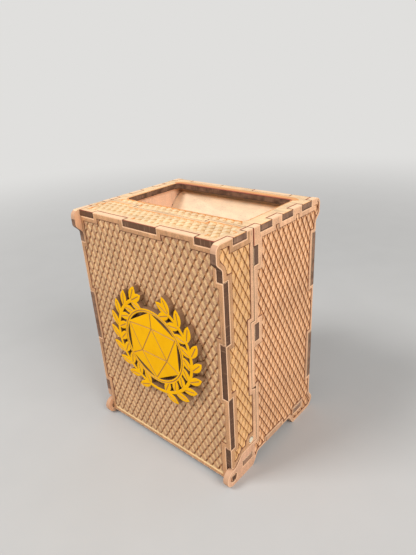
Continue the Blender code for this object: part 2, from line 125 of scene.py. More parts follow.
class FinishColours(bpy.types.PropertyGroup):
    """The colours of the woods, the paint and the metal."""

    face_wood: colour_setting("Face wood", "Plain outer wood", 200, 147, 102)
    # Painted light: the sides' wood is painted paler than the face wood, on the sides' borders and beside the
    # seam
    painted_lit_side_wood: colour_setting("Side wood", "The sides' plain borders", 230, 176, 134)
    arm_wood: colour_setting("Arm wood", "The plain arms that carry the hinge", 216, 165, 130)
    # Painted light: the wood on top is painted paler than the face wood, as lit from above
    painted_lit_top_wood: colour_setting("Top wood", "Plain wood of the panels on top", 236, 198, 152)
    # Partly real wear and partly painted highlight: the worn rim along every edge is painted bright
    rim_wood: colour_setting("Rim wood", "Wood where an edge is worn, with a painted highlight", 244, 194, 152)
    orange_rim: colour_setting("Orange rim", "Wood scorched to orange along the edges on top", 224, 154, 90)
    # Partly char and partly painted shade: a dark line painted along the gaps in the notches on top
    seam_wood: colour_setting("Seam wood", "The line of char and painted gap shade in the notches on top", 156, 66, 36)
    # Painted highlight: the step over the front's lower border is painted bright
    glint_wood: colour_setting(
        "Glint wood", "The step over the front's lower border, painted with a highlight", 240, 204, 150)
    # The step between a border and its scales is darkened partly by browning and partly by painted shade
    step_wood: colour_setting("Step wood", "The step between a border and its scales, browned and painted with shade", 128, 76, 44)
    burnt_wood: colour_setting("Burnt wood", "The cut edges of the finger joints", 108, 74, 52)
    tanned_wood: colour_setting("Tanned wood", "Cut edges that are only browned", 166, 126, 100)
    # The bare edges are paler; where they face up, their paleness is painted light from above
    bared_wood: colour_setting(
        "Bared wood", "The pale cut edges of ears, arms and feet, and edges facing up painted lit", 214, 166, 131)
    # Painted light: the fingers' ends on top are painted pale, as lit from above
    topped_wood: colour_setting("Topped wood", "The fingers' ends on top, painted pale as lit from above", 246, 208, 168)
    board_wood: colour_setting("Board wood", "The smooth inner boards", 243, 211, 175)
    liner_wood: colour_setting("Liner wood", "The inner side walls", 240, 194, 160)
    hopper_wood: colour_setting("Hopper wood", "The cut edge round the hopper", 156, 116, 92)
    yellow_paint: colour_setting("Yellow paint", "The emblem's paint", 252, 186, 0)
    scraped_paint: colour_setting("Scraped paint", "The lines engraved in the emblem", 196, 138, 58)
    emblem_edge: colour_setting("Emblem edge", "The cut edge of the emblem", 150, 114, 82)
    steel: colour_setting("Steel", "The magnets", 255, 246, 218)


class StudioSettings(bpy.types.PropertyGroup):
    """The camera's place, the lamps and the floor."""

    camera_place: FloatVectorProperty(
        name="Camera place", description="Where the camera stands", subtype="TRANSLATION",
        default=(0.15426, -0.16445, 0.19138), unit="LENGTH")
    camera_turn: FloatVectorProperty(
        name="Camera turn", description="How the camera is turned", subtype="EULER",
        default=(math.radians(65.4416), math.radians(3.2301), math.radians(40.5337)))
    lens: FloatProperty(
        name="Lens", description="Focal length in millimetres", default=29.732)
    key_power: FloatProperty(
        name="Key power", description="Power of the main lamp, high on the left in front",
        default=11.0, unit="POWER")
    side_power: FloatProperty(
        name="Side power", description="Power of the lamp on the right", default=9.0, unit="POWER")
    sky_strength: FloatProperty(
        name="Sky strength", description="Strength of the even light", default=0.45)
    floor_colour: colour_setting("Floor colour", "The floor's own colour", 190, 189, 187)
    backdrop_colour: colour_setting(
        "Backdrop colour", "What lies behind the object, as it is seen", 224, 223, 221)


class DiceTowerSettings(bpy.types.PropertyGroup):
    """All settings of the dice tower's looks."""

    engraving: PointerProperty(type=EngravingSizes)
    colours: PointerProperty(type=FinishColours)
    studio: PointerProperty(type=StudioSettings)


def settings():
    """The scene's settings for the tower."""
    return bpy.context.scene.dice_tower


# Node tools


def put(tree, socket, value):
    """Link a value's socket, or set the plain value. None leaves the socket as it is."""
    if isinstance(value, bpy.types.NodeSocket):
        tree.links.new(value, socket)
    elif value is not None:
        if socket.type == "RGBA" and len(value) == 3:
            value = (*value, 1)
        socket.default_value = value


def calc(tree, operation, *values):
    """The result of a sum on values or sockets."""
    node = tree.nodes.new("ShaderNodeMath")
    node.operation = operation
    for socket, value in zip(node.inputs, values):
        put(tree, socket, value)
    return node.outputs[0]


def flipped(tree, mask):
    """A mask turned inside out."""
    return calc(tree, "SUBTRACT", 1.0, mask)


def vector_calc(tree, operation, *values):
    """The result of a sum on vectors: its value for a dot product or a length, or else its vector."""
    node = tree.nodes.new("ShaderNodeVectorMath")
    node.operation = operation
    for socket, value in zip(node.inputs, values):
        put(tree, socket, value)
    return node.outputs["Value" if operation in ("DOT_PRODUCT", "LENGTH") else "Vector"]


def ramp_between(tree, value, low, high):
    """A soft rise from 0 to 1 between two levels of a value."""
    node = tree.nodes.new("ShaderNodeMapRange")
    node.interpolation_type = "SMOOTHSTEP"
    put(tree, node.inputs["Value"], value)
    put(tree, node.inputs["From Min"], low)
    put(tree, node.inputs["From Max"], high)
    return node.outputs["Result"]


def mixed(tree, share, first, second, mode="MIX"):
    """Two colours mixed by a share."""
    node = tree.nodes.new("ShaderNodeMix")
    node.data_type = "RGBA"
    node.blend_type = mode
    for socket, value in zip((node.inputs[0], node.inputs[6], node.inputs[7]), (share, first, second)):
        put(tree, socket, value)
    return node.outputs[2]


Noise = namedtuple("Noise", "scale detail roughness")


def speckle(tree, place, noise):
    """Noise over a place, about 0.5 on average."""
    node = tree.nodes.new("ShaderNodeTexNoise")
    put(tree, node.inputs["Vector"], place)
    for name, value in noise._asdict().items():
        put(tree, node.inputs[name.capitalize()], value)
    return node.outputs["Fac"]


def new_group(name, inputs, outputs):
    """An empty shader node group: its tree, its input sockets by name and its output sockets by name."""
    tree = bpy.data.node_groups.new(name, "ShaderNodeTree")
    for socket_name, kind, default in inputs:
        socket = tree.interface.new_socket(socket_name, in_out="INPUT", socket_type="NodeSocket" + kind)
        if default is not None:
            socket.default_value = default
    for socket_name, kind in outputs:
        tree.interface.new_socket(socket_name, in_out="OUTPUT", socket_type="NodeSocket" + kind)
    return tree, tree.nodes.new("NodeGroupInput").outputs, tree.nodes.new("NodeGroupOutput").inputs


def use_group(tree, name, **values):
    """Place a node group in a tree with its own values, and give its outputs."""
    node = tree.nodes.new("ShaderNodeGroup")
    node.node_tree = bpy.data.node_groups[name]
    for socket_name, value in values.items():
        put(tree, node.inputs[socket_name.replace("_", " ").capitalize()], value)
    return node.outputs


def new_finish(name):
    """A material with a Principled shader: the material, its tree, its shader and the place on it."""
    finish = bpy.data.materials.new(name)
    finish.use_nodes = True
    tree = finish.node_tree
    return finish, tree, tree.nodes["Principled BSDF"], tree.nodes.new("ShaderNodeTexCoord").outputs["Object"]


Bump = namedtuple("Bump", "distance strength")


def dress(tree, shader, colour, roughness, height=None, bump=None):
    """Give a shader its colour and roughness, and a height that bumps its normal."""
    put(tree, shader.inputs["Base Color"], colour)
    put(tree, shader.inputs["Roughness"], roughness)
    if height is not None:
        node = tree.nodes.new("ShaderNodeBump")
        for name, value in (("Strength", bump.strength), ("Distance", bump.distance), ("Height", height)):
            put(tree, node.inputs[name], value)
        put(tree, shader.inputs["Normal"], node.outputs["Normal"])


# Shared effects


STREAKS = Noise(420, 3, 0.6)
PORES = Noise(1900, 1, 0.5)
CLOUDS = Noise(55, 2, 0.5)
DUST = Noise(3800, 1, 0.5)
BURN_STRIPES = Noise(2600, 2, 0.6)
SOOT_PATCHES = Noise(260, 2, 0.5)
PALE_STRIPES = Noise(1500, 1, 0.5)
WOBBLE = Noise(900, 2, 0.6)
GRIT = Noise(1500, 3, 0.7)

SOOT = seen(70, 48, 36)
BROWNING = seen(84, 56, 40)
PALE_FIBRE = seen(214, 168, 132)
CHAR = seen(62, 40, 28)
# Painted highlight: the colour of the small glints laid on the scales' grit
PAINTED_SPARKLE = seen(250, 212, 156)

# The grain: the shares of streaks and dust in its tone, how far the tone and the pores shade the wood, and
# how deep the pores are
STREAK_SHARE = 0.55
DUST_SHARE = 0.7
GRAIN_SHADE = 2.2
PORE_SHADE = 0.5
PORE_DEPTH = 0.6

# Where the char along a sheet's faces starts and is full, as shares of its thickness from the middle
CHAR_START = 0.34
CHAR_FULL = 0.44

# How soft the edges of a scale's slope are, and how far they wander, as shares of a scale
SLOPE_BLUR = 0.09
WANDER = 0.2

# How many lip shares before the next scale the lip starts, and is whole
LIP_START = 2.2
LIP_WHOLE = 0.6


def make_grain_group():
    """Wood grain: soft streaks along the board, short dark pores and fine dust."""
    tree, given, out = new_group(
        "Wood grain",
        [("Place", "Vector", None), ("Stretch", "Vector", (1, 1, 1)), ("Wood", "Color", None),
         ("Contrast", "Float", 0.3)],
        [("Colour", "Color"), ("Height", "Float"), ("Roughness", "Float")])
    place, contrast = given["Place"], given["Contrast"]
    run = vector_calc(tree, "MULTIPLY", place, given["Stretch"])
    pore = ramp_between(tree, speckle(tree, run, PORES), 0.62, 0.74)
    cloud = calc(tree, "MULTIPLY", speckle(tree, place, CLOUDS), 1 - STREAK_SHARE)
    dust = calc(tree, "SUBTRACT", speckle(tree, place, DUST), 0.5)
    tone = calc(tree, "MULTIPLY_ADD", speckle(tree, run, STREAKS), STREAK_SHARE, cloud)
    tone = calc(tree, "MULTIPLY_ADD", dust, DUST_SHARE, tone)
    shade = calc(tree, "MULTIPLY", calc(tree, "SUBTRACT", tone, 0.5), contrast)
    light = calc(tree, "MULTIPLY_ADD", shade, GRAIN_SHADE, 1.0)
    light = calc(tree, "MULTIPLY_ADD", calc(tree, "MULTIPLY", pore, contrast), -PORE_SHADE, light)
    put(tree, out["Colour"], mixed(tree, 1.0, given["Wood"], light, "MULTIPLY"))
    put(tree, out["Height"], calc(tree, "MULTIPLY_ADD", pore, -PORE_DEPTH, tone))
    put(tree, out["Roughness"], calc(tree, "MULTIPLY_ADD", tone, 0.25, 0.42))


def make_burn_group():
    """A laser-cut edge: scorched stripes across the sheet, paler and blacker patches, and char along the
    sheet's two faces."""
    tree, given, out = new_group(
        "Burnt edge",
        [("Place", "Vector", None), ("Stretch", "Vector", (1, 1, 1)), ("Wood", "Color", None),
         ("Scorch", "Float", 0.5), ("Sheet normal", "Vector", (0, 0, 0)), ("Sheet middle", "Float", 0.0)],
        [("Colour", "Color"), ("Height", "Float")])
    place, scorch = given["Place"], given["Scorch"]
    run = vector_calc(tree, "MULTIPLY", place, given["Stretch"])
    stripe = speckle(tree, run, BURN_STRIPES)
    soot = ramp_between(tree, speckle(tree, place, SOOT_PATCHES), 0.35, 0.7)
    pale = ramp_between(tree, speckle(tree, run, PALE_STRIPES), 0.6, 0.78)
    level = vector_calc(tree, "DOT_PRODUCT", place, given["Sheet normal"])
    off_middle = calc(tree, "ABSOLUTE", calc(tree, "SUBTRACT", level, given["Sheet middle"]))
    char_and_gap_shade = ramp_between(tree, off_middle, SHEET * CHAR_START, SHEET * CHAR_FULL)
    wood = given["Wood"]
    for mask, strength, tone in ((soot, scorch, SOOT), (stripe, scorch, BROWNING), (pale, 0.25, PALE_FIBRE),
                                 (char_and_gap_shade, scorch, CHAR)):
        wood = mixed(tree, calc(tree, "MULTIPLY", mask, strength), wood, tone)
    put(tree, out["Colour"], wood)
    put(tree, out["Height"], stripe)


def make_scale_group():
    """Where a place lies on the engraved scales: its slope, lip and slit, the slit's deep end, the brow that
    gets a painted highlight, and the grit."""
    tree, given, out = new_group(
        "Engraved scales",
        [("Place", "Vector", None), ("Rise axis", "Vector", None), ("Fall axis", "Vector", None),
         ("Rise start", "Float", 0.0), ("Fall start", "Float", 0.0), ("Band start", "Float", 0.5),
         ("Band end", "Float", 0.8), ("Lip share", "Float", 0.08)],
        [(mark, "Float") for mark in ("Slope", "Lip", "Slit", "Deep", "Brow", "Grit")])
    place, lip_share = given["Place"], given["Lip share"]
    wobble = calc(tree, "MULTIPLY", calc(tree, "SUBTRACT", speckle(tree, place, WOBBLE), 0.5), WANDER)

    def scale_share(way, operation):
        level = vector_calc(tree, "DOT_PRODUCT", place, given[f"{way} axis"])
        level = calc(tree, "ADD", level, given[f"{way} start"])
        return calc(tree, "FRACT", calc(tree, operation, level, wobble))

    rise, fall = scale_share("Rise", "ADD"), scale_share("Fall", "SUBTRACT")
    lip = ramp_between(tree, rise, calc(tree, "MULTIPLY_ADD", lip_share, -LIP_START, 1.0),
                       calc(tree, "MULTIPLY_ADD", lip_share, -LIP_WHOLE, 1.0))
    starts, ends = [ramp_between(tree, rise, calc(tree, "SUBTRACT", given[edge], SLOPE_BLUR),
                                 calc(tree, "ADD", given[edge], SLOPE_BLUR))
                    for edge in ("Band start", "Band end")]
    before_slit = ramp_between(tree, fall, 0.78, 0.93)
    past_slit = ramp_between(tree, fall, 0.03, 0.15)
    before_brow_ends = flipped(tree, ramp_between(tree, fall, 0.15, 0.55))
    marks = {
        "Slope": calc(tree, "MULTIPLY", starts, flipped(tree, ends)),
        "Lip": lip,
        "Slit": calc(tree, "MAXIMUM", before_slit, flipped(tree, past_slit)),
        "Deep": ramp_between(tree, rise, 0.3, 0.66),
        "Brow": calc(tree, "MULTIPLY", before_brow_ends, past_slit),
        "Grit": speckle(tree, place, GRIT),
    }
    for name, mark in marks.items():
        put(tree, out[name], mark)


def make_edge_group():
    """How much a place lies on a board's cut edge, from the way that it faces."""
    tree, given, out = new_group(
        "Board edge",
        [("Facing", "Vector", None), ("Board normal", "Vector", (0, 0, 1))],
        [("Edge", "Float")])
    facing = calc(tree, "ABSOLUTE", vector_calc(tree, "DOT_PRODUCT", given["Facing"], given["Board normal"]))
    put(tree, out["Edge"], flipped(tree, ramp_between(tree, facing, 0.35, 0.8)))


# Finishes


# How the grain stretches along the three axes, and the stripes of a cut edge across its sheet
UPRIGHT_GRAIN = (1, 1, 0.1)
LEVEL_GRAIN = (0.1, 1, 1)
RAMP_GRAIN = (0.4, 1, 1)
STRIPE_STRETCH = 0.08

WOOD_BUMP = Bump(0.00006, 0.6)
EDGE_BUMP = Bump(0.00008, 0.6)
SCALE_BUMP = Bump(0.00007, 0.7)
BOARD_BUMP = Bump(0.00005, 0.5)
PAINT_BUMP = Bump(0.00005, 0.4)

PAINT_CLOUDS = Noise(120, 3, 0.6)
PAINT_FIBRES = Noise(2400, 2, 0.6)
STEEL_MARKS = Noise(1600, 3, 0.6)
FLOOR_CLOUDS = Noise(30, 2, 0.5)

# How the paint's and the steel's darker places differ from their colours, as shares of them
DEEP_PAINT = (0.95, 0.9, 0.8)
WORN_STEEL = 0.92


def face_finish(name, wood, stretch, contrast=0.3):
    """Plain sheet wood with its grain."""
    finish, tree, shader, place = new_finish(name)
    grain = use_group(tree, "Wood grain", place=place, stretch=stretch, wood=wood, contrast=contrast)
    dress(tree, shader, grain["Colour"], grain["Roughness"], grain["Height"], WOOD_BUMP)
    return finish


def across_sheet(normal):
    """The stretch that lays a cut edge's stripes across a sheet with this normal."""
    return tuple(STRIPE_STRETCH if abs(value) > STRAIGHT else 1 for value in normal)


def burnt_finish(name, wood, normal, scorch, middle=None):
    """A cut edge of a sheet with this normal, scorched by the laser. Where the level of the sheet's middle is
    given, it is charred along the sheet's two faces."""
    finish, tree, shader, place = new_finish(name)
    burn = use_group(tree, "Burnt edge", place=place, stretch=across_sheet(normal), wood=wood, scorch=scorch,
                     sheet_normal=None if middle is None else normal, sheet_middle=middle)
    shader.inputs["Specular IOR Level"].default_value = 0.25
    dress(tree, shader, burn["Colour"], 0.6, burn["Height"], EDGE_BUMP)
    return finish


# How a panel's scales are set on its lattice, and their colours, which carry each face's painted light and
# shade
ScaleLook = namedtuple("ScaleLook", "rise_start fall_start band_start band_end wood plate brow slope "
                                    "slit deep lip spark")


def scale_finish(name, face, look, stretch):
    """The engraved scales of one panel, set along its lattice."""
    finish, tree, shader, place = new_finish(name)
    rise_axis, fall_axis = lattice_axes(face)
    marks = use_group(tree, "Engraved scales", place=place, rise_axis=rise_axis, fall_axis=fall_axis,
                      rise_start=look.rise_start, fall_start=look.fall_start, band_start=look.band_start,
                      band_end=look.band_end, lip_share=settings().engraving.lip_share)
    grit = calc(tree, "MULTIPLY", ramp_between(tree, marks["Grit"], 0.35, 0.65), 0.6)
    # The brow gets a painted highlight
    plate = mixed(tree, marks["Brow"], look.plate, look.brow)
    # The slope's colour carries each face's painted light and shade
    wood = mixed(tree, marks["Slope"], plate, mixed(tree, grit, look.slope, look.plate))
    # The slit, its deep end and the lip darken partly as burnt engraving and partly as painted shade
    wood = mixed(tree, marks["Slit"], wood, mixed(tree, marks["Deep"], look.slit, look.deep))
    wood = mixed(tree, marks["Lip"], wood, look.lip)
    # A painted sparkle: small highlights laid on the grit
    spark = calc(tree, "MULTIPLY", ramp_between(tree, marks["Grit"], 0.56, 0.72), look.spark)
    wood = mixed(tree, spark, wood, PAINTED_SPARKLE)
    grain = use_group(tree, "Wood grain", place=place, stretch=stretch, wood=wood, contrast=0.45)
    roughness = calc(tree, "MULTIPLY_ADD", marks["Slit"], 0.15, grain["Roughness"])
    height = calc(tree, "MULTIPLY_ADD", marks["Grit"], 1.4, grain["Height"])
    dress(tree, shader, grain["Colour"], roughness, height, SCALE_BUMP)
    return finish


def board_finish(name, wood, normal, stretch, edge_wood, scorch):
    """A smooth inner board with its cut edges."""
    finish, tree, shader, place = new_finish(name)
    facing = tree.nodes.new("ShaderNodeTexCoord").outputs["Normal"]
    edge = use_group(tree, "Board edge", facing=facing, board_normal=normal)["Edge"]
    grain = use_group(tree, "Wood grain", place=place, stretch=stretch, wood=wood, contrast=0.34)
    burn = use_group(tree, "Burnt edge", place=place, stretch=across_sheet(normal), wood=edge_wood,
                     scorch=scorch)
    colour = mixed(tree, edge, grain["Colour"], burn["Colour"])
    dress(tree, shader, colour, grain["Roughness"], grain["Height"], BOARD_BUMP)
    return finish


def paint_finish():
    """Yellow paint, a little uneven, with a soft sheen."""
    finish, tree, shader, place = new_finish("Yellow paint")
    paint = settings().colours.yellow_paint
    deep = tuple(value * share for value, share in zip(paint, DEEP_PAINT))
    colour = mixed(tree, ramp_between(tree, speckle(tree, place, PAINT_CLOUDS), 0.25, 0.6), deep, paint)
    fibre = speckle(tree, place, PAINT_FIBRES)
    shader.inputs["Specular IOR Level"].default_value = 0.06
    dress(tree, shader, colour, calc(tree, "MULTIPLY_ADD", fibre, 0.2, 0.45), fibre, PAINT_BUMP)
    return finish


def steel_finish():
    """Bright plated steel with faint marks."""
    finish, tree, shader, place = new_finish("Plated steel")
    steel = settings().colours.steel
    mark = speckle(tree, place, STEEL_MARKS)
    colour = mixed(tree, mark, tuple(value * WORN_STEEL for value in steel), steel)
    shader.inputs["Metallic"].default_value = 0.3
    dress(tree, shader, colour, calc(tree, "MULTIPLY_ADD", mark, 0.2, 0.16))
    return finish


# Flat drawings of the faces


Face = namedtuple("Face", "out across up")
FRONT_FACE = Face(Vector((0, -1, 0)), Vector((1, 0, 0)), Vector((0, 0, 1)))
BACK_FACE = Face(Vector((0, 1, 0)), Vector((-1, 0, 0)), Vector((0, 0, 1)))
RIGHT_FACE = Face(Vector((1, 0, 0)), Vector((0, 1, 0)), Vector((0, 0, 1)))
LEFT_FACE = Face(Vector((-1, 0, 0)), Vector((0, -1, 0)), Vector((0, 0, 1)))
TOP_FACE = Face(Vector((0, 0, 1)), Vector((1, 0, 0)), Vector((0, 1, 0)))

# Where the slit of a scale ends and starts, as shares of the falling rows' spacing
SLIT_TOP = 0.1
SLIT_BOTTOM = 0.86

# How deep the slit runs at the scale's start, its plate's end, its lip and its own end, as shares
SLIT_DEPTHS = (0.35, 0.55, 1, 0.35)


def lattice_axes(face):
    """The two vectors that turn a place into counts of scales, along the rising and the falling rows."""
    sizes = settings().engraving
    across = face.across / sizes.scale_width
    up = face.up / sizes.scale_length
    return across + up, across - up


def closed_loops(follow):
    """The loops that run round a table of each corner's next one."""
    ahead = dict(follow)
    loops = []
    while ahead:
        start, corner = ahead.popitem()
        loop = [start]
        while corner != start:
            loop.append(corner)
            corner = ahead.pop(corner)
        loops.append(loop)
    return loops


def outer_loops(node, face):
    """The level of a node's flat outer face, and the loops round it, in millimetres, with the wood on their
    left side."""
    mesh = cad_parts[node].data
    level = max(vertex.co.dot(face.out) for vertex in mesh.vertices)
    steps = set()
    for polygon in mesh.polygons:
        corners = [mesh.vertices[index].co for index in polygon.vertices]
        if all(level - corner.dot(face.out) < TOUCH * MILLIMETRE for corner in corners):
            marks = [tuple(round(corner.dot(axis) / MILLIMETRE, 3) for axis in (face.across, face.up))
                     for corner in corners]
            steps.update(zip(marks, marks[1:] + marks[:1]))
    follow = {first: last for first, last in steps if (last, first) not in steps}
    return level, [[Vector(mark) for mark in loop] for loop in closed_loops(follow)]


def signed_area(loop):
    """A loop's area, which is below zero for a hole."""
    return sum(a.x * b.y - a.y * b.x for a, b in zip(loop, loop[1:] + loop[:1])) / 2


def wound(loop):
    """The loop turned so that it runs counter-clockwise."""
    return loop if signed_area(loop) > 0 else loop[::-1]


def inward(first, last):
    """The way into the wood from an edge of a loop."""
    way = (last - first).normalized()
    return Vector((-way.y, way.x))


def mitre(corner, first_way, first_width, last_way, last_width):
    """Where the two inner lines beside a corner meet."""
    cross = first_way.x * last_way.y - first_way.y * last_way.x
    return corner + Vector(((first_width * last_way.y - last_width * first_way.y) / cross,
                            (last_width * first_way.x - first_width * last_way.x) / cross))


def edge_strips(loops, width_at):
    """Strips along the inside of every edge, and the pieces that fill them at inner corners."""
    strips = []
    for loop in loops:
        edges = list(zip(loop, loop[1:] + loop[:1]))
        widths = [width_at((first + last) / 2) for first, last in edges]
        for (first, last), width in zip(edges, widths):
            way = inward(first, last) * width
            if width > 0:
                strips.append([first, last, last + way, first + way])
        for index, (first, last) in enumerate(edges):
            old_way, new_way = inward(*edges[index - 1]), inward(first, last)
            old_width, new_width = widths[index - 1], widths[index]
            turn = old_way.x * new_way.y - old_way.y * new_way.x
            if min(old_width, new_width) <= 0:
                continue
            if turn < -SHARP_TURN:
                point = mitre(first, old_way, old_width, new_way, new_width)
                strips.append([first, first + old_way * old_width, point, first + new_way * new_width])
            elif turn < -LEAST_TURN:
                strips.append([first, first + old_way * old_width, first + new_way * new_width])
    return strips


def lattice_lines(loops, look):
    """The long lines on which the scales' slopes begin and end, across the whole panel."""
    sizes = settings().engraving
    width, length = sizes.scale_width / MILLIMETRE, sizes.scale_length / MILLIMETRE
    points = [point for loop in loops for point in loop]
    low = Vector((min(p.x for p in points), min(p.y for p in points)))
    high = Vector((max(p.x for p in points), max(p.y for p in points)))
    rise_shares = (0, sizes.plate_share, 1 - sizes.lip_share)
    fall_shares = (0, SLIT_TOP, SLIT_BOTTOM)
    lines = []
    for way, start, shares in ((1, look.rise_start, rise_shares), (-1, look.fall_start, fall_shares)):
        sums = [x / width + way * y / length for x in (low.x, high.x) for y in (low.y, high.y)]
        for count in range(math.floor(min(sums) + start) - 1, math.ceil(max(sums) + start) + 1):
            for share in shares:
                level = count + share - start
                ups = sorted(level - 2 * way * edge / length for edge in (low.y, high.y))
                first = max(2 * low.x / width - level, ups[0])
                last = min(2 * high.x / width - level, ups[1])
                if last - first > LEAST_LINE:
                    lines.append([Vector(((level + other) * width / 2, way * (level - other) * length / 2))
                                  for other in (first, last)])
    return lines


def scale_depth(place, look):
    """How deep the engraving is at a place, in millimetres."""
    sizes = settings().engraving
    across = place.x * MILLIMETRE / sizes.scale_width
    up = place.y * MILLIMETRE / sizes.scale_length
    rise = (across + up + look.rise_start) % 1
    fall = (across - up + look.fall_start) % 1
    stops = (0, sizes.plate_share, 1 - sizes.lip_share, 1)
    slope = np.interp(rise, stops, (0, 0, sizes.slope_depth, 0))
    slit = np.interp(fall, (0, SLIT_TOP, SLIT_BOTTOM, 1), (1, 0, 0, 1))
    slit_depth = np.interp(rise, stops, SLIT_DEPTHS) * sizes.slit_depth
    return (sizes.field_depth + slope + slit * slit_depth) / MILLIMETRE


# Carved sheets


def cut_face(loops, zones, lines):
    """The flat face inside the loops, cut along the zones and the lines: its corners, its cells, each cell's
    zone and the zones that touch each corner."""
    polygons = [wound(loop) for loop in loops]
    owners = ["hole" if signed_area(loop) < 0 else "wood" for loop in loops]
    for zone, shapes in zones:
        polygons += [wound(shape) for shape in shapes]
        owners += [zone] * len(shapes)
    points = []
    index_loops = []
    for polygon in polygons:
        index_loops.append(list(range(len(points), len(points) + len(polygon))))
        points += polygon
    edges = []
    for line in lines:
        edges.append((len(points), len(points) + 1))
        points += line
    corners, _, pieces, _, _, sources = delaunay_2d_cdt(points, edges, index_loops, 1, CUT_GRAIN)

    order = [zone for zone, _ in zones]
    cells = []
    cell_zones = []
    touching = [set() for _ in corners]
    for piece, source in zip(pieces, sources):
        names = {owners[index] for index in source}
        if "wood" in names and "hole" not in names:
            zone = next((zone for zone in order if zone in names), "field")
            cells.append(tuple(piece))
            cell_zones.append(zone)
            for index in piece:
                touching[index].add(zone)
    return corners, cells, cell_zones, touching


def floor_cells(follow, places):
    """The triangles of a sheet's flat inner face, between the loops of its edge. Places gives each corner's
    place on the face."""
    loops = closed_loops(follow)
    flat = [index for loop in loops for index in loop]
    points = [places[index] for index in flat]
    counts = []
    holes = []
    start = 0
    for loop in loops:
        own = list(range(start, start + len(loop)))
        start += len(loop)
        holes.append(signed_area([points[count] for count in own]) < 0)
        counts.append(own[::-1] if holes[-1] else own)
    _, _, cells, origins, _, sources = delaunay_2d_cdt(points, [], counts, 1, CUT_GRAIN / 10)
    return [[flat[origins[index][0]] for index in cell] for cell, source in zip(cells, sources)
            if source and not any(holes[index] for index in source)]


def carve(name, node, face, zones, lines, depth_at, finishes, wall_at):
    """A closed sheet in a node's place. Zones are named polygons on its outer face, the first of which wins;
    depth_at gives how deep a corner lies, from its place and the zones that it touches; wall_at names the
    finish of a cut edge from its place and the way that it faces."""
    level, loops = outer_loops(node, face)
    corners, cells, cell_zones, touching = cut_face(loops, zones, lines)
    steps = {pair for cell in cells for pair in zip(cell, cell[1:] + cell[:1])}
    rim = [(first, last) for first, last in steps if (last, first) not in steps]
    for first, last in rim:
        touching[first].add("edge")

    used = sorted({index for cell in cells for index in cell})
    new_index = {index: count for count, index in enumerate(used)}
    flat = [corners[index].to_2d() for index in used]
    places = [(face.across * corners[index].x + face.up * corners[index].y
               - face.out * depth_at(corners[index], touching[index])) * MILLIMETRE + face.out * level
              for index in used]
    follow = {new_index[first]: new_index[last] for first, last in rim}
    under = {}
    for index in follow:
        corner = corners[used[index]]
        under[index] = len(places)
        places.append((face.across * corner.x + face.up * corner.y) * MILLIMETRE + face.out * (level - SHEET))

    shapes = [tuple(new_index[index] for index in cell) for cell in cells]
    slots = list(cell_zones)
    for first, last in follow.items():
        shapes.append((first, under[first], under[last], last))
        start, end = flat[first], flat[last]
        slots.append(wall_at((start + end) / 2, -inward(start, end)))
    for cell in floor_cells(follow, flat):
        shapes.append(tuple(under[index] for index in reversed(cell)))
        slots.append("floor")

    names = list(finishes)
    mesh = bpy.data.meshes.new(name)
    mesh.from_pydata(places, [], shapes)
    for finish in finishes.values():
        mesh.materials.append(finish)
    mesh.polygons.foreach_set("material_index", [names.index(slot) for slot in slots])
    mesh.polygons.foreach_set("use_smooth", [index >= len(cells) for index in range(len(slots))])
    mesh.set_sharp_from_angle(angle=SHARP_EDGE)
    piece = bpy.data.objects.new(name, mesh)
    bpy.context.scene.collection.objects.link(piece)
    return piece


# Places on the flat faces


# A rectangle in millimetres, with a border's width where it has one. Places on both sides are given as on the
# right side, from the front to the back
Area = namedtuple("Area", "left right low high width", defaults=(None,))

# The borders' widths: a usual one, then those of the edges whose middles lie in single areas
FRONT_BORDERS = (2.6, (
    Area(-50, 50, 0, 3.4, 2.1),
    Area(-50, 50, 126, 127, 2.2),
    Area(-44.8, 44.8, 20, 120, 1.7),
))
STRIP_BORDERS = (2.4, (
    Area(-42, -37.8, 116, 131, 2.1),
    Area(-20, -16, 50, 93, 2.2),
    Area(-24, -16, 16, 50, 2.7),
    Area(-38, -30, 10, 16, 1.8),
))
SIDE_BORDERS = (1.5, (
    Area(-8, 8, 6, 10, 1.0),
    Area(20.2, 28.8, 5.2, 11, 1.5),
    Area(14, 42, -1, 11.6, 2.3),
    Area(-42, 42, -1, 10.5, 1.5),
    Area(-13.6, -12.9, 76, 82, 2.1),
    Area(-16.6, -12.9, 74, 84, 2.7),
    Area(-14.7, -12.9, 112, 122, 2.7),
    Area(-19.3, -16.5, 50, 90, 1.9),
    Area(-16.3, -16.2, 89, 112, 2.4),
    Area(-16.3, -16.2, 112, 131, 3.2),
    Area(-16.3, -16.2, 12, 52, 1.9),
    Area(-42, -16, 10, 16, 2.1),
    Area(-12, 34, 126, 127, 2.4),
    Area(-17, 42, 129.9, 131, 3.2),
    Area(-12, 34, 127, 129.9, 2.6),
    Area(34, 34.6, 20, 116, 2.0),
    Area(37, 42, 116, 131, 1.4),
    Area(34, 42, 10, 116, 1.6),
))
TRAY_END_BORDERS = (2.4, (
    Area(-50, 50, -20, -16, 1.5),
    Area(-50, 50, -38, -37, 3.0),
))
TOP_BORDERS = (6.5, (
    Area(-38, 38, -12, -10, 0.5),
    Area(-46, 46, -20, -16, 1.0),
    Area(-49, -44, -16, 35, 2.6),
    Area(44, 49, -16, 35, 2.6),
))

# The arm, which is plain all over
ARM = ((-42, -1), (-18.3, -1), (-18.3, 16), (-42, 16))

# The sides' edges along the tray, and the level above which a line of char and painted gap shade runs along
# them
SIDE_SEAM = (Area(-20, -15, -1, 126), Area(-16.5, -15.5, 126, 131))
SHADED_SEAM_LEVEL = 112

# The slots that hold the floor's tabs
TAB_SLOTS = (Area(-28.8, -20.2, 5.2, 11), Area(20.2, 28.8, 5.2, 11))

# The heights at which the feet and lobes end, the fingers start, and the flat top starts
FOOT_TOP = 16
FINGERS = 126
ROOF = 129

# How far from the middle the ears start
EAR = 37.8

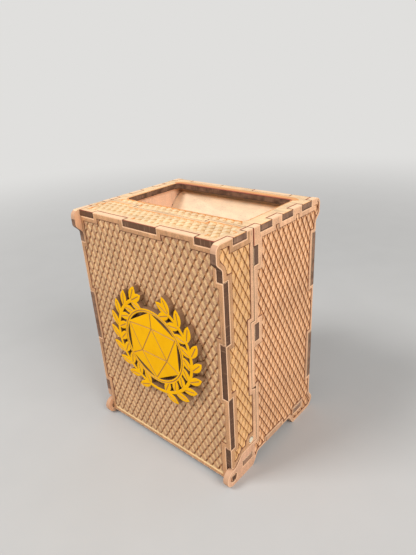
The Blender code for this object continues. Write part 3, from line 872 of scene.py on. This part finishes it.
# How far the ways of edges point to the front where the lobe's front starts, and down under the ear
LOBE_FRONT = -0.7
EAR_UNDERSIDE = -0.3

# The lit step, a painted highlight, lies along edges this near to the front's foot, and is this many steps
# wide over the border
FOOT_REACH = 1
GLINT_STEPS = 2

# The side's front edges are burnt in front of this place and above this level
TONGUES = -11
TONGUE_FOOT = 52

# On the top: the hopper's edges, its rear rim, and those where the tray's end meets the tower
HOPPER = Area(-40, 40, -12, 30)
HOPPER_REAR = 27
TOP_SEAM = Area(-44, 44, -20, -10)

# Edges on the top are burnt in front of this place, and nearer to the middle than this one
TOP_FRONT = -34
TOP_SIDE = 47

# The notches on top: all lie within the first distance from the middle, and each lies beyond the second one
# to a side or beyond the third one to the front or the back
NOTCH_SIDE = 47.5
NOTCH_ACROSS = 44
NOTCH_ALONG = 30

# The hopper's rear rim and its seam line of char and painted gap shade are wider than the usual ones, and the
# top's rim is narrower
REAR_RIM_TIMES = 5
REAR_SEAM_TIMES = 3
TOP_RIM_SHARE = 0.6


def holds(area, place):
    """Whether an area holds a place."""
    return area.left <= place.x <= area.right and area.low <= place.y <= area.high


def border_width(borders, place):
    """The border's width at an edge's middle: that of the first area that holds it, or the usual one."""
    usual, areas = borders
    return next((area.width for area in areas if holds(area, place)), usual)


def in_notch(place):
    """Whether a place on the top's edges lies in a notch, where it meets another panel's finger."""
    across, along = abs(place.x), abs(place.y)
    return not holds(HOPPER, place) and across < NOTCH_SIDE and (across > NOTCH_ACROSS or along > NOTCH_ALONG)


def on_roof(middle, way):
    """Whether a cut edge is the end of a finger on top of the tower."""
    return middle.y > ROOF and way.y > STRAIGHT


def front_wall(middle, way):
    """The front's cut edges: pale where they face up, which is painted light from above, and burnt elsewhere.
    """
    return "topped" if way.y > FACING_UP else "burnt"


def strip_wall(middle, way):
    """The right strip's cut edges: pale on top, bare on the ear's round, under the lobe and where they face
    up, tanned down the ear's front, and burnt elsewhere, also where they face down under the ear. The pale
    ends on top and the bare edges that face up are painted light from above, and the burnt edges under the
    ear are painted shade."""
    on_ear = middle.x < -EAR
    under_lobe = middle.y < FOOT_TOP and way.x > LOBE_FRONT
    if on_roof(middle, way):
        return "topped"
    if on_ear and middle.y < FINGERS:
        # Painted shade: edges that face down under the ear are burnt dark
        return "burnt" if way.y < EAR_UNDERSIDE else "tanned"
    return "bared" if on_ear or under_lobe or way.y > FACING_UP else "burnt"


def side_wall(middle, way):
    """A side's cut edges: pale on top, bare on the ear, the feet, the arm and the round corners on top, burnt
    in the slots, in the notches and along the tray, and tanned elsewhere. The pale ends on top and the bare
    corners on top, which face up, are painted light from above."""
    if any(holds(slot, middle) for slot in TAB_SLOTS):
        return "burnt"
    if on_roof(middle, way):
        return "topped"
    if middle.x > EAR or middle.y < FOOT_TOP or middle.y > ROOF and way.y > FACING_UP:
        return "bared"
    return "burnt" if middle.y > FINGERS or middle.x < TONGUES and middle.y > TONGUE_FOOT else "tanned"


def browned(wall_at):
    """A rule like another one, with the edges that it calls burnt only tanned."""
    def browned_wall(middle, way):
        finish = wall_at(middle, way)
        return "tanned" if finish == "burnt" else finish
    return browned_wall


def level_wall(middle, way):
    """The top panels' cut edges: brown round the hopper, bare where the tray meets the tower, burnt in front
    and in the notches, and tanned elsewhere."""
    if holds(HOPPER, middle):
        return "hopper"
    if holds(TOP_SEAM, middle):
        return "bared"
    return "burnt" if middle.y < TOP_FRONT or abs(middle.x) < TOP_SIDE else "tanned"


# Engraved panels


# Each face gives the same engraving its own colours, which paint how the light falls on it: the slope is
# painted lit on the front and painted shade on the sides, the brow and the sparkle are painted highlights,
# and the slit, its deep end and the lip are darkened partly by burning and partly by painted shade
FRONT_LOOK = ScaleLook(
    rise_start=0.2, fall_start=0.5, band_start=0.5, band_end=0.82, wood="face_wood",
    plate=seen(188, 138, 102), brow=seen(196, 144, 100), slope=seen(234, 194, 140),
    slit=seen(176, 116, 64), deep=seen(108, 60, 26), lip=seen(146, 92, 50), spark=1.0)
SIDE_LOOK = ScaleLook(
    rise_start=0.25, fall_start=0.9, band_start=0.48, band_end=0.84, wood="painted_lit_side_wood",
    plate=seen(248, 188, 138), brow=seen(248, 196, 150), slope=seen(214, 146, 90),
    slit=seen(170, 106, 56), deep=seen(120, 66, 26), lip=seen(138, 78, 38), spark=0.35)
STRIP_LOOK = ScaleLook(
    rise_start=0.225, fall_start=0.425, band_start=0.52, band_end=0.84, wood="face_wood",
    plate=seen(238, 182, 124), brow=seen(240, 184, 120), slope=seen(224, 168, 102),
    slit=seen(206, 146, 86), deep=seen(136, 80, 30), lip=seen(164, 106, 52), spark=0.9)
# The top's colours are painted paler than the other faces': painted light from above
TOP_LOOK = ScaleLook(
    rise_start=0.3, fall_start=0.71, band_start=0.5, band_end=0.85, wood="painted_lit_top_wood",
    plate=seen(240, 208, 164), brow=seen(246, 218, 174), slope=seen(230, 188, 130),
    slit=seen(222, 176, 122), deep=seen(200, 140, 82), lip=seen(216, 160, 98), spark=0.5)


def engraved_panel(name, node, face, body, look, borders, wall_at, plain=()):
    """An outer panel with its engraved scales, plain border, worn rim and cut edges, and the outline of a
    place that is plain all over."""
    sizes, colours = settings().engraving, settings().colours
    step, rim, hopper_rim, seam, rim_drop = (
        value / MILLIMETRE for value in (sizes.step, sizes.rim, sizes.hopper_rim, sizes.seam, sizes.rim_drop))
    on_top = face is TOP_FACE
    on_side = face in (RIGHT_FACE, LEFT_FACE)
    grain = LEVEL_GRAIN if on_top else UPRIGHT_GRAIN
    level, loops = outer_loops(node, face)
    lowest = min(corner.y for loop in loops for corner in loop)

    def as_right(place):
        return Vector((-place.x, place.y)) if face is LEFT_FACE else place

    def beside_seam(place):
        return on_side and any(holds(area, as_right(place)) for area in SIDE_SEAM)

    def width_at(place):
        return border_width(borders, as_right(place))

    def rim_at(place):
        if on_top and holds(HOPPER, place):
            return hopper_rim * (REAR_RIM_TIMES if place.y > HOPPER_REAR else 1)
        if on_top and holds(TOP_SEAM, place):
            return 0
        return rim * (TOP_RIM_SHARE if on_top else 1)

    # A dark line in the notches on top, high beside the tray on the sides and at the hopper's rear: partly
    # char and partly painted shade of the gaps and of the hopper's back
    def seam_shade_at(place):
        if on_top and holds(HOPPER, place):
            return seam * REAR_SEAM_TIMES if place.y > HOPPER_REAR else 0
        char_and_gap_shade = in_notch(place) if on_top else place.y > SHADED_SEAM_LEVEL and beside_seam(place)
        return seam if char_and_gap_shade else 0

    # Painted light: the borders beside the seam get the sides' paler wood
    def lit_border_at(place):
        return width_at(place) if beside_seam(place) else 0

    # The lit step is a painted highlight
    def glint_at(place):
        lit = face is FRONT_FACE and place.y < lowest + FOOT_REACH
        return width_at(place) + GLINT_STEPS * step if lit else 0

    zones = [
        ("seam", edge_strips(loops, seam_shade_at)),
        ("rim", edge_strips(loops, rim_at)),
        ("arm", [[as_right(Vector(corner)) for corner in plain]] if plain else []),
        ("pale", edge_strips(loops, lit_border_at)),
        ("border", edge_strips(loops, width_at)),
        ("glint", edge_strips(loops, glint_at)),
        ("step", edge_strips(loops, lambda place: width_at(place) + step)),
    ]

    def depth_at(place, touched):
        if "edge" in touched:
            return rim_drop
        if touched & {"border", "arm", "pale", "rim", "seam"}:
            return 0
        return scale_depth(place, look)

    finishes = {"field": scale_finish(f"Scales of {name}", face, look, grain)}
    for zone, word, colour, contrast in (
            ("arm", "Arm", colours.arm_wood, 0.75),
            ("pale", "Pale border", colours.painted_lit_side_wood, 0.75),
            ("border", "Border", getattr(colours, look.wood), 0.7),
            # The rim's colour is worn wood with a painted highlight, and orange scorch on top
            ("rim", "Rim", colours.orange_rim if on_top else colours.rim_wood, 0.2),
            ("seam", "Seam", colours.seam_wood, 0.2),
            ("glint", "Lit step", colours.glint_wood, 0.2),
            ("step", "Step", colours.orange_rim if on_top else colours.step_wood, 0.4),
            ("floor", "Inner side", colours.painted_lit_side_wood if on_side else colours.board_wood, 0.34)):
        finishes[zone] = face_finish(f"{word} of {name}", colour, grain, contrast)
    # Edges on top are scorched less, which paints them lighter with the light from above
    for word, scorch in (("burnt", 0.2 if on_top else 0.5), ("tanned", 0.6), ("bared", 0.1),
                         ("topped", 0.05), ("hopper", 0.85)):
        finishes[word] = burnt_finish(f"{word.capitalize()} edge of {name}", getattr(colours, f"{word}_wood"),
                                      face.out, scorch, level - SHEET / 2)
    panel = carve(name, node, face, zones, lattice_lines(loops, look), depth_at, finishes,
                  lambda middle, way: wall_at(as_right(middle), way))
    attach(panel, body)
    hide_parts(node)


class DICETOWER_OT_tray_floor(bpy.types.Operator):
    """Engrave the front panel, which is the tray's floor when it is down"""
    bl_idname = "dice_tower.tray_floor"
    bl_label = "Front panel"

    def execute(self, context):
        engraved_panel("front_engraved", "tray_floor", FRONT_FACE, "tray", FRONT_LOOK, FRONT_BORDERS,
                       front_wall)
        return {"FINISHED"}


class DICETOWER_OT_tray_sides(bpy.types.Operator):
    """Engrave the tray's two side strips"""
    bl_idname = "dice_tower.tray_sides"
    bl_label = "Tray sides"

    def execute(self, context):
        for word, face, wall in (("right", RIGHT_FACE, strip_wall), ("left", LEFT_FACE, browned(strip_wall))):
            engraved_panel(f"strip_{word}_engraved", f"tray_side_{word}", face, "tray", STRIP_LOOK,
                           STRIP_BORDERS, wall)
        return {"FINISHED"}


class DICETOWER_OT_tray_end(bpy.types.Operator):
    """Engrave the strip across the top, which is the tray's far wall when it is down"""
    bl_idname = "dice_tower.tray_end"
    bl_label = "Tray end"

    def execute(self, context):
        engraved_panel("tray_end_engraved", "tray_end", TOP_FACE, "tray", TOP_LOOK, TRAY_END_BORDERS,
                       level_wall)
        return {"FINISHED"}


class DICETOWER_OT_tower_sides(bpy.types.Operator):
    """Engrave the tower's two sides"""
    bl_idname = "dice_tower.tower_sides"
    bl_label = "Tower sides"

    def execute(self, context):
        for word, face in (("right", RIGHT_FACE), ("left", LEFT_FACE)):
            engraved_panel(f"side_{word}_engraved", f"side_panel_{word}", face, "tower", SIDE_LOOK,
                           SIDE_BORDERS, side_wall, ARM)
        return {"FINISHED"}


class DICETOWER_OT_back(bpy.types.Operator):
    """Engrave the tower's back"""
    bl_idname = "dice_tower.back"
    bl_label = "Back panel"

    def execute(self, context):
        engraved_panel("back_engraved", "back_panel", BACK_FACE, "tower", FRONT_LOOK, FRONT_BORDERS,
                       browned(front_wall))
        return {"FINISHED"}


class DICETOWER_OT_top(bpy.types.Operator):
    """Engrave the top round the hopper"""
    bl_idname = "dice_tower.top"
    bl_label = "Top frame"

    def execute(self, context):
        engraved_panel("top_engraved", "top_frame", TOP_FACE, "tower", TOP_LOOK, TOP_BORDERS, level_wall)
        return {"FINISHED"}


# Smooth boards and magnets


# How close corners are joined, and how wide and round their wear is
WELD_REACH = 0.00001
CORNER_WEAR = 0.00018
WEAR_SEGMENTS = 2
LEAST_WORN_ANGLE = math.radians(40)

# How far the base's middle tabs reach from the middle of the tower
ARCH_TAB_REACH = 0.009

# The ramps' slopes in degrees, above zero where they face the back
RAMP_SLOPES = {"upper_ramp": -45, "middle_ramp": 45, "exit_ramp": -40}


def soften(node, finish):
    """Give a node its finish and slightly worn corners."""
    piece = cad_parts[node]
    piece.data.materials.clear()
    piece.data.materials.append(finish)
    weld = piece.modifiers.new("Joined corners", "WELD")
    weld.merge_threshold = WELD_REACH
    bevel = piece.modifiers.new("Worn corners", "BEVEL")
    bevel.width = CORNER_WEAR
    bevel.segments = WEAR_SEGMENTS
    bevel.limit_method = "ANGLE"
    bevel.angle_limit = LEAST_WORN_ANGLE


class DICETOWER_OT_boards(bpy.types.Operator):
    """Finish the floor, the partition and the liners"""
    bl_idname = "dice_tower.boards"
    bl_label = "Inner boards"

    def execute(self, context):
        colours = settings().colours
        flat, upright, sideways = (0, 0, 1), (0, 1, 0), (1, 0, 0)
        soften("base_panel", board_finish("Base wood", colours.board_wood, flat, LEVEL_GRAIN,
                                          colours.tanned_wood, 0.4))
        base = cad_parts["base_panel"].data
        base.materials.append(burnt_finish("Arch tab edge", colours.bared_wood, flat, 0.15))
        base.materials.append(burnt_finish("Arm tab edge", colours.tanned_wood, flat, 0.05))
        # The rear tab ends keep the base's darker tanned edge, which paints the shade that falls on them
        for polygon in base.polygons:
            if polygon.center.y < ARCH_TAB_REACH and abs(polygon.normal.x) > STRAIGHT:
                polygon.material_index = 2 if polygon.center.y < -ARCH_TAB_REACH else 1
        soften("partition", board_finish("Partition wood", colours.board_wood, upright, UPRIGHT_GRAIN,
                                         colours.burnt_wood, 0.25))
        liner = board_finish("Liner wood", colours.liner_wood, sideways, UPRIGHT_GRAIN,
                             colours.burnt_wood, 0.4)
        soften("liner_right", liner)
        soften("liner_left", liner)
        return {"FINISHED"}


class DICETOWER_OT_ramps(bpy.types.Operator):
    """Finish the three sloping ramps"""
    bl_idname = "dice_tower.ramps"
    bl_label = "Ramps"

    def execute(self, context):
        colours = settings().colours
        for node, slope in RAMP_SLOPES.items():
            normal = (0, math.sin(math.radians(slope)), math.cos(math.radians(slope)))
            soften(node, board_finish(f"Wood of {node}", colours.board_wood, normal, RAMP_GRAIN,
                                      colours.burnt_wood, 0.4))
        return {"FINISHED"}


class DICETOWER_OT_magnets(bpy.types.Operator):
    """Finish the small steel magnets"""
    bl_idname = "dice_tower.magnets"
    bl_label = "Magnets"

    def execute(self, context):
        steel = steel_finish()
        for owner in ("tray", "tower"):
            for word in ("right", "left"):
                soften(f"{owner}_magnet_{word}", steel)
        return {"FINISHED"}


# The emblem


# Its engraved lines, in millimetres on the front face and in degrees
EMBLEM_MIDDLE = Vector((4, 68))
FACET_RADIUS = 10.2
FACET_REACH = 18.4
RING_RADIUS = 19.6
RING_STEPS = 48
BRANCH_RADIUS = 25.5
BRANCH_START = 12
BRANCH_END = 148
LEAF_PAIRS = 9
LEAF_LENGTH = 9.8
LEAF_LEAN = 34
INNER_LEAN = -52
INNER_LEAF_SHARE = 0.86
RIB_START = 0.16
RIB_END = 0.78
GROOVE_WIDTH = 0.6
GROOVE_FLOOR = 0.2
GROOVE_DEPTH = 0.25


def groove(first, last, width, reach):
    """A long four-cornered shape along a line, which goes on past both of its ends."""
    way = (last - first).normalized()
    side = Vector((-way.y, way.x)) * width / 2
    start, end = first - way * reach, last + way * reach
    return [start - side, end - side, end + side, start + side]


def round_place(angle, radius):
    """A place on the emblem, at an angle in degrees from its right, in millimetres on the front face."""
    turn = math.radians(angle)
    return EMBLEM_MIDDLE + Vector((math.cos(turn), math.sin(turn))) * radius


def emblem_lines():
    """The lines engraved in the emblem: the die's facets, the ring's middle and the leaves' ribs."""
    lines = []
    for turn in (90, 210, 330):
        inner = round_place(turn, FACET_RADIUS)
        lines.append((inner, round_place(turn + 120, FACET_RADIUS)))
        lines += [(inner, round_place(turn + step, FACET_REACH)) for step in (-60, 0, 60)]
    step = 360 / RING_STEPS
    lines += [(round_place(count * step, RING_RADIUS), round_place((count + 1) * step, RING_RADIUS))
              for count in range(RING_STEPS)]
    ribs = [(BRANCH_END, 0, 1)]
    for pair in range(LEAF_PAIRS):
        angle = BRANCH_START + (BRANCH_END - BRANCH_START) * pair / (LEAF_PAIRS - 1)
        ribs += [(angle, LEAF_LEAN, 1), (angle, INNER_LEAN, INNER_LEAF_SHARE)]
    for angle, lean, share in ribs:
        for side in (1, -1):
            turn, way = math.radians(angle), math.radians(angle - lean)
            base = EMBLEM_MIDDLE + Vector((side * math.sin(turn), -math.cos(turn))) * BRANCH_RADIUS
            along = Vector((side * math.cos(way), math.sin(way))) * LEAF_LENGTH * share
            lines.append((base + along * RIB_START, base + along * RIB_END))
    return lines


class DICETOWER_OT_emblem(bpy.types.Operator):
    """Paint the emblem and engrave its lines"""
    bl_idname = "dice_tower.emblem"
    bl_label = "Emblem"

    def execute(self, context):
        sizes, colours = settings().engraving, settings().colours
        _, loops = outer_loops("emblem", FRONT_FACE)
        lines = emblem_lines()
        zones = [
            ("rim", edge_strips(loops, lambda place: sizes.rim / MILLIMETRE)),
            ("groove", [groove(*line, GROOVE_FLOOR, 0) for line in lines]),
            ("bank", [groove(*line, GROOVE_WIDTH, (GROOVE_WIDTH - GROOVE_FLOOR) / 2) for line in lines]),
        ]

        def depth_at(place, touched):
            if "edge" in touched:
                return sizes.rim_drop / MILLIMETRE
            return GROOVE_DEPTH if "groove" in touched else 0

        scraped = face_finish("Scraped paint", colours.scraped_paint, UPRIGHT_GRAIN)
        paint = paint_finish()
        finishes = {
            "field": paint,
            "rim": paint,
            "groove": scraped,
            "bank": scraped,
            "wall": burnt_finish("Cut edge of the emblem", colours.emblem_edge, FRONT_FACE.out, 0.25),
            "floor": face_finish("Back of the emblem", colours.face_wood, UPRIGHT_GRAIN),
        }
        emblem = carve("emblem_painted", "emblem", FRONT_FACE, zones, [], depth_at, finishes,
                       lambda middle, way: "wall")
        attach(emblem, "tray")
        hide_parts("emblem")
        return {"FINISHED"}


# The studio


FLOOR_RADIUS = 4.0
FLOOR_CORNERS = 96

# How far from the middle the floor starts to fade into the backdrop, and has faded
FADE_START = 0.25
FADE_END = 0.9

# What the lamps face, then each lamp's place and width
LIT_PLACE = (0, 0, 0.06)
KEY_LAMP = ((-0.45, -0.75, 1.10), 0.45)
SIDE_LAMP = ((1.00, -0.15, 0.75), 0.7)


def mixed_shaders(tree, share, first, second, target):
    """Feed two shaders, mixed by a share, to a target's surface."""
    node = tree.nodes.new("ShaderNodeMixShader")
    for socket, value in zip(node.inputs, (share, first, second)):
        put(tree, socket, value)
    put(tree, tree.nodes[target].inputs["Surface"], node.outputs[0])


def make_floor(studio):
    """A plain pale floor, which fades into the backdrop far from the object."""
    finish, tree, shader, place = new_finish("Studio floor")
    tone = calc(tree, "MULTIPLY_ADD", speckle(tree, place, FLOOR_CLOUDS), 0.06, 0.97)
    shader.inputs["Specular IOR Level"].default_value = 0.1
    dress(tree, shader, mixed(tree, 1.0, studio.floor_colour, tone, "MULTIPLY"), 0.9)
    glow = tree.nodes.new("ShaderNodeEmission")
    put(tree, glow.inputs["Color"], studio.backdrop_colour)
    far = ramp_between(tree, vector_calc(tree, "LENGTH", place), FADE_START, FADE_END)
    mixed_shaders(tree, far, shader.outputs[0], glow.outputs[0], "Material Output")
    mesh = bpy.data.meshes.new("studio_floor")
    build = bmesh.new()
    bmesh.ops.create_circle(build, cap_ends=True, radius=FLOOR_RADIUS, segments=FLOOR_CORNERS)
    build.to_mesh(mesh)
    build.free()
    mesh.materials.append(finish)
    floor = bpy.data.objects.new("studio_floor", mesh)
    bpy.context.scene.collection.objects.link(floor)


def make_world(studio):
    """Even light on the object, and a pale background for the camera and for gloss."""
    world = bpy.data.worlds.new("Studio")
    world.use_nodes = True
    tree = world.node_tree
    light = tree.nodes["Background"]
    put(tree, light.inputs["Color"], (1, 1, 1))
    put(tree, light.inputs["Strength"], studio.sky_strength)
    shown = tree.nodes.new("ShaderNodeBackground")
    put(tree, shown.inputs["Color"], studio.backdrop_colour)
    path = tree.nodes.new("ShaderNodeLightPath").outputs
    either = calc(tree, "MAXIMUM", path["Is Camera Ray"], path["Is Glossy Ray"])
    mixed_shaders(tree, either, light.outputs[0], shown.outputs[0], "World Output")
    bpy.context.scene.world = world


def make_lamp(name, place, size, power):
    """A soft square lamp that faces the object."""
    data = bpy.data.lights.new(name, "AREA")
    data.size = size
    data.energy = power
    lamp = bpy.data.objects.new(name, data)
    lamp.location = place
    lamp.rotation_euler = (Vector(LIT_PLACE) - Vector(place)).to_track_quat("-Z", "Y").to_euler()
    bpy.context.scene.collection.objects.link(lamp)


def make_camera(studio):
    """The camera at the photograph's viewing angle."""
    data = bpy.data.cameras.new("Camera")
    data.lens = studio.lens
    data.sensor_width = 36
    data.clip_start = 0.01
    camera = bpy.data.objects.new("Camera", data)
    camera.location = studio.camera_place
    camera.rotation_euler = studio.camera_turn
    bpy.context.scene.collection.objects.link(camera)
    bpy.context.scene.camera = camera


class DICETOWER_OT_stage(bpy.types.Operator):
    """Set up the floor, the lamps and the camera"""
    bl_idname = "dice_tower.stage"
    bl_label = "Studio"

    def execute(self, context):
        studio = settings().studio
        make_floor(studio)
        make_world(studio)
        make_lamp("Key lamp", *KEY_LAMP, studio.key_power)
        make_lamp("Side lamp", *SIDE_LAMP, studio.side_power)
        make_camera(studio)
        context.scene.view_settings.view_transform = "Standard"
        return {"FINISHED"}


class DICETOWER_PT_panel(bpy.types.Panel):
    """The dice tower's settings and steps"""
    bl_label = "Dice tower"
    bl_idname = "DICETOWER_PT_panel"
    bl_space_type = "VIEW_3D"
    bl_region_type = "UI"
    bl_category = "Dice tower"

    def draw(self, context):
        layout = self.layout
        for group in (settings().engraving, settings().colours, settings().studio):
            box = layout.box()
            for name in group.__annotations__:
                box.prop(group, name)
        for step in STEPS:
            layout.operator(step.bl_idname)


STEPS = (
    DICETOWER_OT_tray_floor,
    DICETOWER_OT_tray_sides,
    DICETOWER_OT_tray_end,
    DICETOWER_OT_tower_sides,
    DICETOWER_OT_back,
    DICETOWER_OT_top,
    DICETOWER_OT_boards,
    DICETOWER_OT_ramps,
    DICETOWER_OT_magnets,
    DICETOWER_OT_emblem,
    DICETOWER_OT_stage,
)
CLASSES = (EngravingSizes, FinishColours, StudioSettings, DiceTowerSettings, *STEPS, DICETOWER_PT_panel)


def register():
    """Register every class, and hang the settings on the scene."""
    for part in CLASSES:
        bpy.utils.register_class(part)
    bpy.types.Scene.dice_tower = PointerProperty(type=DiceTowerSettings)


def unregister():
    """Take the settings and every class away again."""
    del bpy.types.Scene.dice_tower
    for part in reversed(CLASSES):
        bpy.utils.unregister_class(part)


def main():
    """Dress every piece and light it."""
    register()
    for make_group in (make_grain_group, make_burn_group, make_scale_group, make_edge_group):
        make_group()
    for step in STEPS:
        group, name = step.bl_idname.split(".")
        getattr(getattr(bpy.ops, group), name)()


if __name__ == "__main__":
    main()
